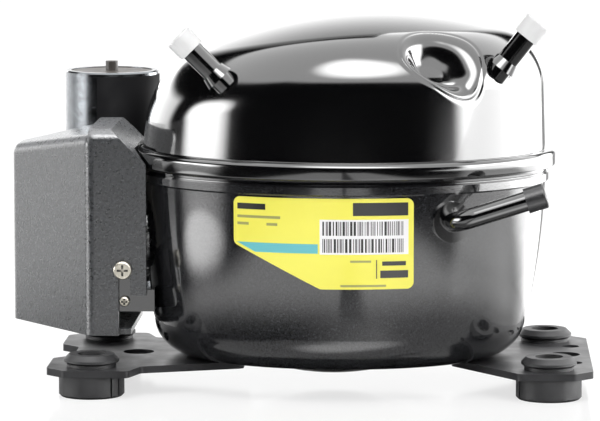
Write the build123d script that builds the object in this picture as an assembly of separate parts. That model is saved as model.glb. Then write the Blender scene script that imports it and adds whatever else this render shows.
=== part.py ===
from build123d import *
import math
import os

# Hermetic reciprocating compressor. Millimetres, +Z up, +X along the long side of the shell.
# The origin is the centre of the foot-hole pattern on the floor plane.

# ---- feet and base plates ----
foot_pitch_x = 170.0
foot_pitch_y = 70.0
grommet_foot_r = 12.2
grommet_foot_h = 8.3
grommet_collar_r = 10.3
grommet_h = 15.6
grommet_bevel = 1.8
grommet_rim_h = 0.9
grommet_under_h = 0.8
grommet_neck_r = 9.2
grommet_base_round = 0.8
groove_w = 0.8
groove_depth = 0.8
groove_step = 19.0
groove_turns = (-38.5, -162.5, 38.5, 162.5)
plate_t = 2.6
plate_hole_r = 8.25
sleeve_bore_r = 4.1
sleeve_wall = 1.1
sleeve_recess = 3.6
ear_margin_x = 16.3
ear_margin_y = 12.5
ear_corner_r = 7.0
plate_round = 2.8
ear_notch_half = 17.0
ear_notch_depth = 7.0
left_step_back = 4.0
sump_clearance = 1.0
small_hole_margin = 1.6
left_tongue_tip_x = -29.0
left_tongue_tip_y = 23.0
left_step_x = -66.6
left_step_y = 36.0
right_ear_x = 74.0
right_tongue_tip_x = 49.0
right_tongue_tip_y = 14.0
earth_hole_x = 70.4
earth_hole_r = 5.9
side_hole_x = 91.8
side_hole_r = 5.75
small_hole_x = 94.6
small_hole_y = 20.0
small_hole_r = 3.3

# ---- shell ----
wall = 3.2
shell_half_w = 76.3
shell_half_d = 61.5
shell_centre_x = 7.7
foot_half_w = 67.75
foot_half_d = 52.0
foot_centre_x = 5.3
waist_z = 50.0
waist_half_w = 74.2
waist_half_d = 59.0
waist_centre_x = 7.3
cup_corner_r = 16.0
cup_rim_z = 88.4
sump_r = 33.0
sump_drop = 6.4
sump_x = 4.0
bead_z = 77.7
bead_h = 4.0
bead_out = 1.1
bead_bevel = 0.66
lip_z = 83.8
lip_h = 6.1
lip_out = 3.6
lip_fit = 0.05
lip_round = 2.0
seam_h = 1.9
seam_out = 2.4
seam_foot = 0.3
dome_top_z = 141.7
crown_r = 170.0
crown_x = 22.0
dome_corner_r = 15.0
draft_z = 145.0
draft_left = 5.2
draft_right = 1.8
draft_depth = 1.7
dimple_x = 44.6
dimple_z = 127.5
dimple_half_w = 14.5
dimple_depth = 2.2
dimple_lean = 47.0
dimple_turn = 12.0
probe_w = 0.2

# ---- tube stubs and caps ----
suction_x = -37.4
suction_z = 120.5
suction_tilt = 45.0
process_x = 67.9
process_z = 124.0
process_tilt = 38.0
stub_r = 4.1
stub_bore_r = 3.1
stub_out = 18.6
stub_in = 6.0
stub_collar_r = 5.8
stub_collar_top = 4.6
stub_collar_h = 1.9
cap_wall = 0.9
cap_cover = 6.0
cap_end = 1.6
cap_hole_r = 0.9
discharge_x = 48.4
discharge_z = 67.4
discharge_r = 3.7
discharge_bore_r = 2.5
discharge_bend_r = 9.0
discharge_rise = 17.5
discharge_run = 32.0
discharge_stand = 8.0
discharge_out_x = 2.5
discharge_in_x = 1.5
discharge_up = 1.0
discharge_collar_r = 7.4
discharge_collar_t = 1.6
discharge_cap_cover = 6.0

# ---- label ----
label_left = -30.8
label_right = 35.0
label_top = 77.0
label_bottom = 43.4
label_cut_x = 1.0
label_cut_z = 59.6
label_corner_r = 2.5
label_t = 0.25

# ---- terminal cover, bracket and electrics ----
cover_length = 54.5
cover_block_w = 21.6
cover_lap = 3.7
cover_front = -30.0
cover_flat_y = 13.0
cover_back = 25.0
cover_bottom = 21.5
cover_top = 98.6
cover_left_top = 89.0
cover_step = 2.0
cover_wall = 2.0
cover_corner_r = 4.6
cover_gap = 0.8
cover_low_round = 4.4
cover_high_round = 4.4
cover_roof = 3.6
cover_chamfer_in = 9.4
cover_reach = 12.0
cover_slant = 27.0
cover_leg_out = 6.7
cover_slot_w = 4.3
cover_slot_top = 43.0
cover_tab_bottom = 36.7
cover_screw_in = 1.7
cover_screw_z = 46.3
cover_screw_r = 3.45
cover_screw_l = 6.0
screw_head_h = 2.2
screw_round = 0.8
screw_shank_r = 2.0
screw_fit = 0.2
recess_depth = 0.7
recess_w = 0.8
recess_reach = 0.6
cord_hole_r = 4.5
cord_hole_out = 14.0
cord_hole_z = 34.0
terminal_z = 58.0
terminal_r = 15.0
terminal_depth = 7.0
terminal_set_in = 0.4
terminal_rim = 1.8
terminal_floor = 2.2
pin_r = 1.6
pin_circle_r = 6.6
pin_out = 12.0
pin_in = 8.0
glass_r = 3.2
glass_h = 3.4
glass_out = 0.6
relay_gap = 2.2
relay_x = 22.0
relay_y = 30.0
relay_shift = 4.0
relay_z = 34.0
relay_drop = 8.5
relay_round = 3.0
relay_rib = 2.0
relay_rib_out = 1.0
relay_rib_back = 3.0
relay_mark_depth = 3.0
relay_mark_y = 5.0
relay_mark_z0 = 2.0
relay_mark_z1 = 18.0
overload_r = 11.0
overload_t = 11.0
overload_gap = 0.3
overload_back = 2.0
overload_round = 1.5
overload_nub_share = 0.55
overload_nub_h = 2.0
overload_tab_back = 10.0
overload_tab_t = 1.0
overload_tab_half = 3.15
bracket_t = 1.6
bracket_gap = 0.3
bracket_margin = 3.2
bracket_low = 30.4
bracket_step = 38.6
bracket_high = 52.0
bracket_tab_out = 2.9
bracket_tuck = 1.6
bracket_leg = 18.0
earth_screw_z = 34.3
earth_screw_gap = 0.2
earth_screw_l = 5.0
can_out = 15.8
can_y = 46.5
can_r = 18.25
can_bottom = 29.0
can_h = 86.0
can_rim = 1.2
can_round = 2.0
can_nub_r = 2.4
can_nub_h = 3.4
can_disc_h = 0.84
sleeve_t = 0.4
sleeve_start = 4.0
strap_w = 12.0
strap_t = 1.2
strap_z = 58.0

# ---- pump and motor ----
pump_x = 7.7
shaft_r = 8.0
shaft_bottom = 22.0
oil_bore_r = 3.0
pickup_bottom = 11.8
pickup_tip_r = 3.6
pickup_neck = 2.0
pickup_tip_wall = 1.6
pickup_set_in = 0.5
run_gap = 0.03
stator_z = 30.0
stator_h = 30.0
stator_side = 90.0
stator_clip_r = 55.4
stator_bore_r = 25.0
slot_outer_r = 35.5
slot_count = 24
slot_w = 3.4
tooth_tip = 2.0
slot_mouth_w = 1.6
end_turn_h = 8.5
end_turn_in = 2.6
end_turn_out = 0.4
end_turn_round = 3.0
winding_gap = 0.1
turns_gap = 1.0
air_gap = 0.4
ring_h = 4.0
ring_w = 9.0
ring_set_in = 0.6
bolt_x = 34.0
bolt_y = 26.0
bolt_r = 2.5
block_z = 72.0
block_t = 12.0
block_half_y = 30.0
boss_r = 15.0
boss_drop = 8.0
foot_r = 6.5
washer_t = 0.8
washer_w = 6.0
web_t = 6.0
web_r = 15.0
crank_r = 7.0
crank_pin_r = 7.0
pin_top_over = 8.0
plug_r = 2.0
plug_depth = 4.0
plug_gap = 0.15
plug_bevel = 0.4
balance_r = 21.0
balance_edge_y = 2.0
barrel_r = 12.0
barrel_half = 10.0
barrel_bevel = 0.8
yoke_wall = 2.0
yoke_margin = 1.5
yoke_lift = 0.7
slot_gap = 0.5
bore_r = 11.0
bore_wall = 5.0
cylinder_start = 22.0
piston_reach = 36.0
piston_wall = 3.0
crown_t = 4.0
groove_backs = (5.0, 9.0)
groove_cut = 0.6
groove_h = 0.8
top_clearance = 0.3
gasket_t = 0.6
gasket_margin = 0.5
reed_t = 0.4
reed_half_w = 4.0
reed_top = 12.5
reed_tip = 5.0
reed_gap = 0.15
reed_margin = 0.9
leaf_top = 11.3
leaf_tip = 3.5
suction_port_drop = 0.8
valve_plate_t = 3.0
head_t = 13.0
head_half = 20.0
head_flange_t = 6.0
head_corner_r = 5.0
head_wall = 3.0
head_bolt = 15.5
head_bolt_r = 2.0
head_bolt_head_r = 3.6
head_bolt_head_h = 3.2
suction_port_r = 3.0
discharge_port_r = 2.1
discharge_port_y = 7.6
stop_t = 1.0
stop_lean = 7.0
stop_gap = 0.1
stop_foot = 2.0
stop_l = 14.0
rib_y = 3.2
rib_half = 0.9
discharge_room_w = 9.0
suction_room_w = 12.0
suction_room_half = 10.5
muffler_x = 28.0
muffler_y = 15.0
muffler_z = 30.0
muffler_back = 6.0
muffler_round = 4.0
line_fit = 0.05
line_wall = 0.8
line_bend_r = 5.0
line_lead = 9.0
line_insert = 3.0
line_set_back = 1.0
float_travel = 2.5
spring_r = 5.0
spring_wire_r = 0.8
spring_turns = 4.0
spring_sides = 6
seat_r = 6.2
seat_h = 2.4
nose_r = 3.7
nose_h = 3.5
snubber_gap = 0.5
snubber_bevel = 1.0

# ---- worked out from the sizes above ----
shell_left = shell_centre_x - shell_half_w
cover_edge_x = shell_left + cover_lap
cover_mid_x = cover_edge_x - cover_block_w
cover_left = cover_edge_x - cover_length
cover_leg_x = shell_left - cover_leg_out
cover_slot_x = cover_leg_x + cover_slot_w
cover_screw_x = cover_leg_x + cover_screw_in
cord_hole_x = cover_mid_x - cord_hole_out
bracket_y = cover_front + cover_wall + bracket_gap
earth_screw_x = (cover_leg_x + cover_slot_x) / 2
earth_screw_r = cover_slot_w / 2 - earth_screw_gap
terminal_face_x = shell_left + terminal_set_in - wall
relay_face = shell_left - wall - relay_gap
can_x = shell_left - can_out
plate_z = grommet_foot_h
cup_z = plate_z + plate_t
pump_low_z = cup_z + wall
nose_top = pump_low_z + seat_h + nose_h
snubber_h = stator_z - nose_top - float_travel - snubber_gap
stator_top = stator_z + stator_h
line_r = discharge_bore_r - line_fit
line_bore_r = line_r - line_wall
block_top = block_z + block_t
web_z = block_top + washer_t
web_top = web_z + web_t
yoke_bore_r = barrel_r + run_gap
yoke_r = yoke_bore_r + yoke_wall
axis_z = web_top + yoke_lift + yoke_r
pin_top = axis_z + pin_top_over
yoke_half = barrel_half + crank_r + yoke_margin
crown_x0 = pump_x + piston_reach
block_face = crown_x0 + crank_r + top_clearance
gasket_face = block_face + gasket_t
plate_face = gasket_face + valve_plate_t
head_face = plate_face + head_t
sleeve_r = sleeve_bore_r + sleeve_wall
BASE = (Align.CENTER, Align.CENTER, Align.MIN)
TOWARDS_X = (0, 90, 0)
TOWARDS_BACK = (-90, 0, 0)


def rod(radius, length, at=(0, 0, 0), turn=(0, 0, 0)):
    """Round bar that starts at a point and runs up, or along the turned Z axis."""
    return Pos(*at) * Rot(*turn) * Cylinder(radius, length, align=BASE)


def pipe(outer_r, inner_r, length, at=(0, 0, 0), turn=(0, 0, 0)):
    """Round tube that starts at a point and runs up, or along the turned Z axis."""
    return rod(outer_r, length, at, turn) - rod(inner_r, length, at, turn)


def block(size, at):
    """Box centred in X and Y on a point and standing on it."""
    return Pos(*at) * Box(*size, align=BASE)


def span_box(x0, x1, y0, y1, z0, z1):
    """Box between two corners."""
    return Pos(x0, y0, z0) * Box(x1 - x0, y1 - y0, z1 - z0, align=(Align.MIN,) * 3)


def oval(z, centre_x, half_w, half_d, grow=0.0):
    """Oval section of the shell at a height, grown outwards by a distance."""
    return Plane.XY.offset(z) * Pos(centre_x, 0) * Ellipse(half_w + grow, half_d + grow)


def rim_band(z, height, grow):
    """Straight oval band on the rim of the shell."""
    return extrude(oval(z, shell_centre_x, shell_half_w, shell_half_d, grow), height)


def plan_outline(points, z, height):
    """Upright slab on a plan outline."""
    return extrude(Plane.XY.offset(z) * make_face(Polyline(*points, close=True)), height)


def cup(grow):
    """Drawn lower cup with its round bottom corner and oil sump, grown outwards by a distance."""
    foot = oval(cup_z - grow, foot_centre_x, foot_half_w, foot_half_d, grow)
    waist = oval(waist_z, waist_centre_x, waist_half_w, waist_half_d, grow)
    rim = oval(cup_rim_z, shell_centre_x, shell_half_w, shell_half_d, grow)
    body = loft([foot, waist, rim])
    body = fillet(body.edges().group_by(Axis.Z)[0], cup_corner_r + grow)
    sump_ball_r = (sump_r**2 + sump_drop**2) / (2 * sump_drop)
    ball = Pos(sump_x, 0, cup_z - sump_drop + sump_ball_r) * Sphere(sump_ball_r + grow)
    return body + (ball & rod(2 * sump_r, sump_drop + wall, (sump_x, 0, cup_z - sump_drop - grow)))


def dome(grow):
    """Drawn upper dome: a tapering oval column under a round crown, grown outwards by a distance."""
    foot = oval(lip_z, shell_centre_x, shell_half_w, shell_half_d, grow)
    tip_half_w = shell_half_w - (draft_left + draft_right) / 2
    tip_centre_x = shell_centre_x + (draft_left - draft_right) / 2
    tip = oval(draft_z, tip_centre_x, tip_half_w, shell_half_d - draft_depth, grow)
    ball = Pos(crown_x, 0, dome_top_z - crown_r) * Sphere(crown_r + grow)
    body = loft([foot, tip], ruled=True) & ball
    long_edges = [edge for edge in body.edges() if edge.length > shell_half_w]
    top_edges = [edge for edge in long_edges if edge.center().Z > lip_z + lip_h]
    return fillet(top_edges, dome_corner_r + grow)


def dimple():
    """Ball that presses the round pocket into the front shoulder of the dome."""
    lean = math.radians(dimple_lean)
    turn = math.radians(dimple_turn)
    normal = Vector(math.sin(turn) * math.sin(lean), -math.cos(turn) * math.sin(lean), math.cos(lean))
    ball_r = (dimple_half_w**2 + dimple_depth**2) / (2 * dimple_depth)
    return Pos(*(shoulder_point(dimple_x, dimple_z) + normal * (ball_r - dimple_depth))) * Sphere(ball_r)


def shoulder_point(x, z):
    """Point on the front of the dome at a place along X and a height."""
    probe = dome(0) & Pos(x, 0, z) * Box(probe_w, 4 * shell_half_d, probe_w)
    return Vector(x, probe.bounding_box().min.Y, z)


def cup_front(x, z):
    """Y of the front of the cup at a place along X and a height."""
    probe = cup(0) & Pos(x, 0, z) * Box(probe_w, 4 * shell_half_d, probe_w)
    return probe.bounding_box().min.Y


def tilted(point, tilt):
    """Turned frame at a point, its Z axis leaning from upright towards +X by an angle."""
    return Pos(*point) * Rot(0, tilt, 0)


# ---- shell ----
outer_cup = cup(0)
outer_dome = dome(0)
suction_frame = tilted(shoulder_point(suction_x, suction_z), -suction_tilt)
process_frame = tilted(shoulder_point(process_x, process_z), process_tilt)


def make_lower_shell():
    """Cup with its rolled bead, open at the rim and pierced for the terminal and the discharge."""
    bead = rim_band(bead_z, bead_h, bead_out)
    bead = chamfer(bead.edges(), bead_bevel)
    hollow = cup(-wall)
    body = outer_cup + bead - hollow
    body -= rod(terminal_r, 3 * wall, (terminal_face_x, 0, terminal_z), TOWARDS_X)
    return body - discharge_core()


def make_upper_shell():
    """Dome with the lip that laps over the cup, the pocket in its shoulder and the stub holes."""
    lip = fillet(rim_band(lip_z, lip_h, lip_out).edges().group_by(Axis.Z)[-1], lip_round)
    lip -= cup(lip_fit)
    lip -= rim_band(cup_rim_z, lip_h, -wall / 2)
    body = outer_dome - dimple() - dome(-wall)
    body &= block((4 * shell_half_w, 4 * shell_half_d, dome_top_z), (shell_centre_x, 0, cup_rim_z))
    for frame in (suction_frame, process_frame):
        body -= frame * Pos(0, 0, -stub_in) * rod(stub_r, stub_in + stub_out)
    return body + lip


def make_seam_weld():
    """Weld bead that closes the shell all round, under the edge of the lip."""
    foot = oval(lip_z - seam_h, shell_centre_x, shell_half_w, shell_half_d, seam_foot)
    top = oval(lip_z, shell_centre_x, shell_half_w, shell_half_d, seam_out)
    return loft([foot, top], ruled=True) - outer_cup


def base_plate(points, holes):
    """Base plate on an outline, its ears drilled for the grommets and cleared round the sump."""
    body = plan_outline(points, plate_z, plate_t)
    body = fillet(body.edges().filter_by(Axis.Z), plate_round)
    body -= rod(sump_r + sump_clearance, plate_t, (sump_x, 0, plate_z))
    for x, y, radius in holes:
        body -= rod(radius, plate_t, (x, y, plate_z))
    return body


def make_base_plate_left():
    """Left base plate with two ears and a tongue under the cup."""
    end_x = -foot_pitch_x / 2 - ear_margin_x
    notch_x = end_x + ear_notch_depth
    side_y = foot_pitch_y / 2 + ear_margin_y
    half = [
        (notch_x, ear_notch_half - ear_notch_depth),
        (end_x, ear_notch_half),
        (end_x, side_y - ear_corner_r),
        (end_x + ear_corner_r, side_y),
        (left_step_x - left_step_back, side_y),
        (left_step_x, left_step_y),
        (left_tongue_tip_x, left_tongue_tip_y),
    ]
    holes = [(-foot_pitch_x / 2, side * foot_pitch_y / 2, plate_hole_r) for side in (1, -1)]
    return base_plate(mirrored_outline(half), holes + [(-earth_hole_x, 0, earth_hole_r)])


def make_base_plate_right():
    """Right base plate with two ears and a tongue under the cup."""
    end_x = foot_pitch_x / 2 + ear_margin_x
    side_y = foot_pitch_y / 2 + ear_margin_y
    half = [
        (end_x, small_hole_y + small_hole_r + small_hole_margin),
        (end_x, side_y - ear_corner_r),
        (end_x - ear_corner_r, side_y),
        (right_ear_x, side_y),
        (right_tongue_tip_x, right_tongue_tip_y),
    ]
    holes = [(foot_pitch_x / 2, side * foot_pitch_y / 2, plate_hole_r) for side in (1, -1)]
    holes += [(small_hole_x, side * small_hole_y, small_hole_r) for side in (1, -1)]
    return base_plate(mirrored_outline(half), holes + [(side_hole_x, 0, side_hole_r)])


def mirrored_outline(half):
    """Closed outline from its back half, listed outwards, and its mirror image in front."""
    return half + [(x, -y) for x, y in reversed(half)]


def make_grommet(x, y, turn):
    """Rubber grommet that clips into the hole of an ear, with two grooves down its foot."""
    rim_z = grommet_h - grommet_bevel
    under_z = rim_z - grommet_rim_h - grommet_under_h
    outline = [
        (sleeve_r, 0),
        (grommet_foot_r - grommet_base_round, 0),
        (grommet_foot_r, grommet_base_round),
        (grommet_foot_r, grommet_foot_h),
        (plate_hole_r, grommet_foot_h),
        (plate_hole_r, plate_z + plate_t),
        (grommet_neck_r, plate_z + plate_t),
        (grommet_neck_r, under_z),
        (grommet_collar_r, rim_z - grommet_rim_h),
        (grommet_collar_r, rim_z),
        (grommet_collar_r - grommet_bevel, grommet_h),
        (sleeve_r, grommet_h),
    ]
    body = revolve(Plane.XZ * make_face(Polyline(*outline, close=True)), Axis.Z)
    for side in (-1, 1):
        groove = block((2 * groove_depth, groove_w, grommet_foot_h), (grommet_foot_r, 0, 0))
        body -= Rot(0, 0, turn + side * groove_step / 2) * groove
    return Pos(x, y) * body


# ---- tube stubs and caps ----
def make_stub(frame):
    """Straight tube stub with its brazed collar."""
    body = pipe(stub_r, stub_bore_r, stub_in + stub_out, (0, 0, -stub_in))
    cone = Cone(stub_collar_r, stub_collar_top, 2 * stub_collar_h, align=BASE)
    collar = Pos(0, 0, -stub_collar_h) * cone
    collar -= rod(stub_bore_r, 4 * stub_collar_h, (0, 0, -2 * stub_collar_h))
    return frame * body + (frame * collar - outer_dome)


def make_cap(tube_r, cover_length, start):
    """Moulded transport cap that sleeves over the end of a tube."""
    outer_r = tube_r + lip_fit + cap_wall
    body = rod(outer_r, cover_length + cap_end, (0, 0, start))
    body = fillet(body.edges().group_by(Axis.Z)[-1], cap_wall)
    body -= rod(tube_r + lip_fit, cover_length, (0, 0, start))
    return body - rod(cap_hole_r, cap_end + cover_length, (0, 0, start))


def discharge_points():
    """Corners of the bent discharge tube: inside, outside the wall, and its straight end."""
    rise = math.radians(discharge_rise)
    front = cup_front(discharge_x, discharge_z)
    bend = Vector(discharge_x + discharge_out_x, front - discharge_stand, discharge_z + discharge_up)
    inside = Vector(discharge_x - discharge_in_x, front + discharge_stand, discharge_z - discharge_up)
    end = bend + Vector(math.cos(rise) * discharge_run, 0, math.sin(rise) * discharge_run)
    return inside, bend, end


def bent_tube(points, bend_r, radius):
    """Solid round bar along a route with round bends."""
    path = FilletPolyline(*points, radius=bend_r)
    return sweep(Plane(path @ 0, z_dir=path % 0) * Circle(radius), path)


def discharge_core():
    """Room that the discharge tube takes up in the wall of the cup."""
    return bent_tube(discharge_points(), discharge_bend_r, discharge_r)


def make_discharge_tube():
    """Bent discharge tube with the oval collar where it leaves the cup."""
    points = discharge_points()
    start = points[0]
    towards = (points[1] - points[0]).normalized()
    collar = Plane(start, z_dir=towards) * rod(discharge_collar_r, 2 * discharge_stand)
    collar = collar & (cup(discharge_collar_t) - outer_cup)
    body = discharge_core() + collar
    return body - bent_tube(points, discharge_bend_r, discharge_bore_r)


def discharge_end_frame():
    """Frame at the end of the discharge tube, its Z axis along the tube."""
    points = discharge_points()
    return Plane(points[2], z_dir=(points[2] - points[1]).normalized())


# ---- label ----
def make_label():
    """Thin label on the front of the cup, with one corner cut off at a slant."""
    outline = Polyline(
        (label_left, label_top),
        (label_right, label_top),
        (label_right, label_bottom),
        (label_cut_x, label_bottom),
        (label_left, label_cut_z),
        close=True,
    )
    face = fillet(make_face(outline).vertices(), label_corner_r)
    prism = extrude(Plane.XZ * face, shell_half_d + wall)
    return prism & (cup(label_t) - cup(lip_fit))


# ---- terminal cover, bracket and electrics ----
def cover_outline(inset):
    """Plan of the terminal cover, moved inwards by a wall, open towards the shell."""
    reach = cover_edge_x + cover_reach
    corner = inset * math.tan(math.radians(cover_slant))
    return [
        (reach, cover_front + inset),
        (cover_mid_x + corner, cover_front + inset),
        (cover_left + inset, cover_flat_y + corner),
        (cover_left + inset, cover_back - inset),
        (reach, cover_back - inset),
    ]


def cover_slab(height):
    """Upright slab on the plan of the cover, its outer corners round."""
    slab = plan_outline(cover_outline(0), cover_bottom, height)
    corners = [edge for edge in slab.edges().filter_by(Axis.Z) if edge.center().X < cover_edge_x]
    return fillet(corners, cover_corner_r)


def round_top(body, radius):
    """Rounds the rim of the top face, except where it is open towards the shell."""
    rims = [edge for edge in body.faces().sort_by(Axis.Z)[-1].edges() if edge.center().X < cover_edge_x]
    return fillet(rims, radius)


def cover_block():
    """Outside of the terminal cover: a low box with a sloped top, and a taller one by the shell."""
    height = cover_top - cover_bottom
    low_top = cover_top - cover_step
    slope = math.degrees(math.atan2(low_top - cover_left_top, cover_mid_x - cover_left))
    above = span_box(-2 * height, 2 * height, -height, height, 0, height)
    low = cover_slab(1.5 * height) - Pos(cover_mid_x, 0, low_top) * Rot(0, -slope, 0) * above
    low = round_top(low, cover_low_round)
    low &= span_box(cover_left, cover_mid_x, -height, height, 0, 2 * height)
    high = round_top(cover_slab(height), cover_high_round)
    high &= span_box(cover_mid_x, 0, -height, height, 0, 2 * height)
    slant = span_box(-height, height, -height, height, 0, height)
    slant_x = cover_edge_x - cover_lap - cover_chamfer_in
    return low + (high - Pos(slant_x, 0, cover_top) * Rot(0, 45, 0) * slant)


def make_terminal_cover():
    """Moulded terminal cover, its edge fitted to the shell, slotted for its two screws."""
    inner_top = cover_left_top - cover_roof
    body = cover_block()
    floor_z = cover_bottom + cover_wall
    body -= plan_outline(cover_outline(cover_wall), floor_z, inner_top - floor_z)
    front_wall = (cover_front, cover_front + 2 * cover_wall, cover_bottom)
    body -= span_box(cover_edge_x, 0, -shell_half_d, shell_half_d, cover_bottom, 2 * cover_top)
    body -= span_box(cover_slot_x, 0, -shell_half_d, shell_half_d, cover_bottom, cover_tab_bottom)
    body -= span_box(cover_leg_x, cover_slot_x, *front_wall, cover_slot_top)
    body -= outer_shell_room(cover_gap)
    start = (cover_screw_x, cover_front - cover_wall, cover_screw_z)
    body -= rod(screw_shank_r + screw_fit, 4 * cover_wall, start, TOWARDS_BACK)
    start = (cord_hole_x, cover_back - 2 * cover_wall, cord_hole_z)
    return body - rod(cord_hole_r, 4 * cover_wall, start, TOWARDS_BACK)


def outer_shell_room(gap):
    """The whole shell, grown by a gap, to fit other pieces round it."""
    room = cup(gap) + dome(gap)
    room += rim_band(lip_z - seam_h - gap, seam_h + lip_h + 2 * gap, lip_out + gap)
    return room + rim_band(bead_z - gap, bead_h + 2 * gap, bead_out + gap)


def make_screw(x, z, radius, length, front):
    """Pan-head screw that points to the back, with a cross recess."""
    head = rod(radius, screw_head_h, (x, front - screw_head_h, z), TOWARDS_BACK)
    head = fillet(head.edges().group_by(Axis.Y)[0], screw_round)
    reach = 2 * recess_reach * radius
    for size in ((reach, 2 * recess_depth, recess_w), (recess_w, 2 * recess_depth, reach)):
        head -= Pos(x, front - screw_head_h, z) * Box(*size)
    return head + rod(screw_shank_r, length, (x, front, z), TOWARDS_BACK)


def make_terminal_bracket():
    """Steel angle welded to the cup, tapped for the cover screw and the earth screw."""
    start_x = cover_leg_x - bracket_margin
    tuck_x = cover_edge_x - bracket_tuck
    tab_x = cover_edge_x + bracket_tab_out
    back_y = bracket_y + bracket_t
    body = span_box(start_x, tab_x, bracket_y, back_y, bracket_low, bracket_step)
    body += span_box(start_x, tuck_x, bracket_y, back_y, bracket_step, bracket_high)
    body += span_box(tab_x - bracket_t, tab_x, bracket_y, bracket_y + bracket_leg, bracket_low, bracket_step)
    body -= outer_cup
    for x, z in ((cover_screw_x, cover_screw_z), (earth_screw_x, earth_screw_z)):
        body -= rod(screw_shank_r, bracket_t, (x, bracket_y, z), TOWARDS_BACK)
    mouth = screw_shank_r + run_gap
    low_z = cover_screw_z - mouth
    return body - span_box(start_x, cover_screw_x, bracket_y, back_y, low_z, low_z + 2 * mouth)


def pin_places():
    """Centres of the three terminal pins, in Y and Z."""
    for step in range(3):
        angle = math.radians(90 + 120 * step)
        yield pin_circle_r * math.cos(angle), terminal_z + pin_circle_r * math.sin(angle)


def make_terminal_cup():
    """Steel cup of the hermetic terminal, welded into the side of the shell."""
    place = (terminal_face_x, 0, terminal_z)
    body = rod(terminal_r, terminal_depth, place, TOWARDS_X)
    body -= rod(terminal_r - terminal_rim, terminal_depth - terminal_floor, place, TOWARDS_X)
    for y, z in pin_places():
        body -= rod(glass_r, 2 * terminal_depth, (terminal_face_x, y, z), TOWARDS_X)
    return body


def make_terminal_glass():
    """Glass beads that seal the pins in the cup."""
    start = terminal_face_x + terminal_depth - terminal_floor - glass_out
    return Compound([pipe(glass_r, pin_r, glass_h, (start, y, z), TOWARDS_X) for y, z in pin_places()])


def make_terminal_pins():
    """Three straight pins through the glass."""
    start = terminal_face_x - pin_out
    length = pin_out + terminal_depth + pin_in
    return Compound([rod(pin_r, length, (start, y, z), TOWARDS_X) for y, z in pin_places()])


def make_start_relay():
    """Start relay that plugs on two of the pins, with a rib round its case."""
    back_x = relay_face - relay_x
    low_y = relay_shift - relay_y / 2
    low_z = terminal_z - relay_drop
    body = span_box(back_x, relay_face, low_y, low_y + relay_y, low_z, low_z + relay_z)
    body = fillet(body.edges().filter_by(Axis.X), relay_round)
    rib_x = relay_face - relay_rib_back
    rib_y = (low_y - relay_rib_out, low_y + relay_y + relay_rib_out)
    body += span_box(rib_x - relay_rib, rib_x, *rib_y, low_z + relay_rib, low_z + relay_z - relay_rib)
    mark_y = (low_y + relay_mark_y, low_y + relay_y - relay_mark_y)
    mark_z = (terminal_z + relay_mark_z0, terminal_z + relay_mark_z1)
    body -= span_box(back_x, back_x + relay_mark_depth, *mark_y, *mark_z)
    for y, z in pin_places():
        body -= rod(pin_r + run_gap, 2 * pin_out, (relay_face - pin_out - wall, y, z), TOWARDS_X)
    return body


def make_overload():
    """Round overload protector clipped below the relay."""
    middle = terminal_z - relay_drop - overload_r - overload_gap
    back_x = relay_face - overload_back - overload_t
    tab_x = relay_face - overload_tab_back
    body = rod(overload_r, overload_t, (back_x, relay_shift, middle), TOWARDS_X)
    body = fillet(body.edges().group_by(Axis.X)[0], overload_round)
    start = (back_x - overload_nub_h, relay_shift, middle)
    body += rod(overload_r * overload_nub_share, overload_nub_h, start, TOWARDS_X)
    tab_y = (relay_shift - overload_tab_half, relay_shift + overload_tab_half)
    tab_z = (middle - overload_r - overload_tab_t, middle)
    return body + span_box(tab_x, tab_x + overload_tab_t, *tab_y, *tab_z)


def make_capacitor_can():
    """Drawn can of the start capacitor, with its rolled rim and its nub."""
    body = rod(can_r, can_h, (can_x, can_y, can_bottom))
    body = fillet(body.edges().group_by(Axis.Z)[0], can_round)
    body = chamfer(body.edges().group_by(Axis.Z)[-1], can_rim / 2)
    body -= rod(can_r - 2 * can_rim, can_rim, (can_x, can_y, can_bottom + can_h - can_rim))
    return body


def make_capacitor_cap():
    """Moulded end cap of the capacitor with its round nub."""
    base = can_bottom + can_h - can_rim
    body = rod(can_r - 2 * can_rim, can_disc_h, (can_x, can_y, base))
    return body + rod(can_nub_r, can_rim + can_nub_h, (can_x, can_y, base))


def make_capacitor_sleeve():
    """Shrunk sleeve round the can."""
    start = can_bottom + sleeve_start
    length = can_h - 2 * sleeve_start
    body = pipe(can_r + sleeve_t, can_r, length, (can_x, can_y, start))
    return body


def make_capacitor_strap():
    """Steel band round the can, with its bracket leg welded to the cup."""
    inner_r = can_r + sleeve_t
    body = pipe(inner_r + strap_t, inner_r, strap_w, (can_x, can_y, strap_z))
    leg_y = (can_y - strap_t / 2, can_y + strap_t / 2)
    leg = span_box(can_x, shell_centre_x, *leg_y, strap_z, strap_z + strap_w)
    leg -= rod(inner_r, strap_w, (can_x, can_y, strap_z))
    return body + (leg - outer_cup)


# ---- motor ----
def around(count, make):
    """Copies of a piece, turned in equal steps about the pump's upright axis."""
    return [Pos(pump_x, 0) * Rot(0, 0, 360 * step / count) * make() for step in range(count)]


def corner_places(half_x, half_y):
    """Four places about the pump's axis."""
    return [(pump_x + sx * half_x, sy * half_y) for sx in (-1, 1) for sy in (-1, 1)]


def make_stator_core():
    """Laminated stator with its winding slots."""
    plate = Rectangle(stator_side, stator_side) & Circle(stator_clip_r)
    body = Pos(pump_x, 0, stator_z) * extrude(plate - Circle(stator_bore_r), stator_h)

    def slot():
        start = stator_bore_r + tooth_tip
        length = slot_outer_r - start
        room = block((length, slot_w, stator_h), (start + length / 2, 0, stator_z))
        mouth = block((tooth_tip + 1, slot_mouth_w, stator_h), (start - tooth_tip / 2, 0, stator_z))
        return room + mouth

    body -= around(slot_count, slot)
    for x, y in corner_places(bolt_x, bolt_y):
        body -= rod(bolt_r, stator_h, (x, y, stator_z))
    return body


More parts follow.
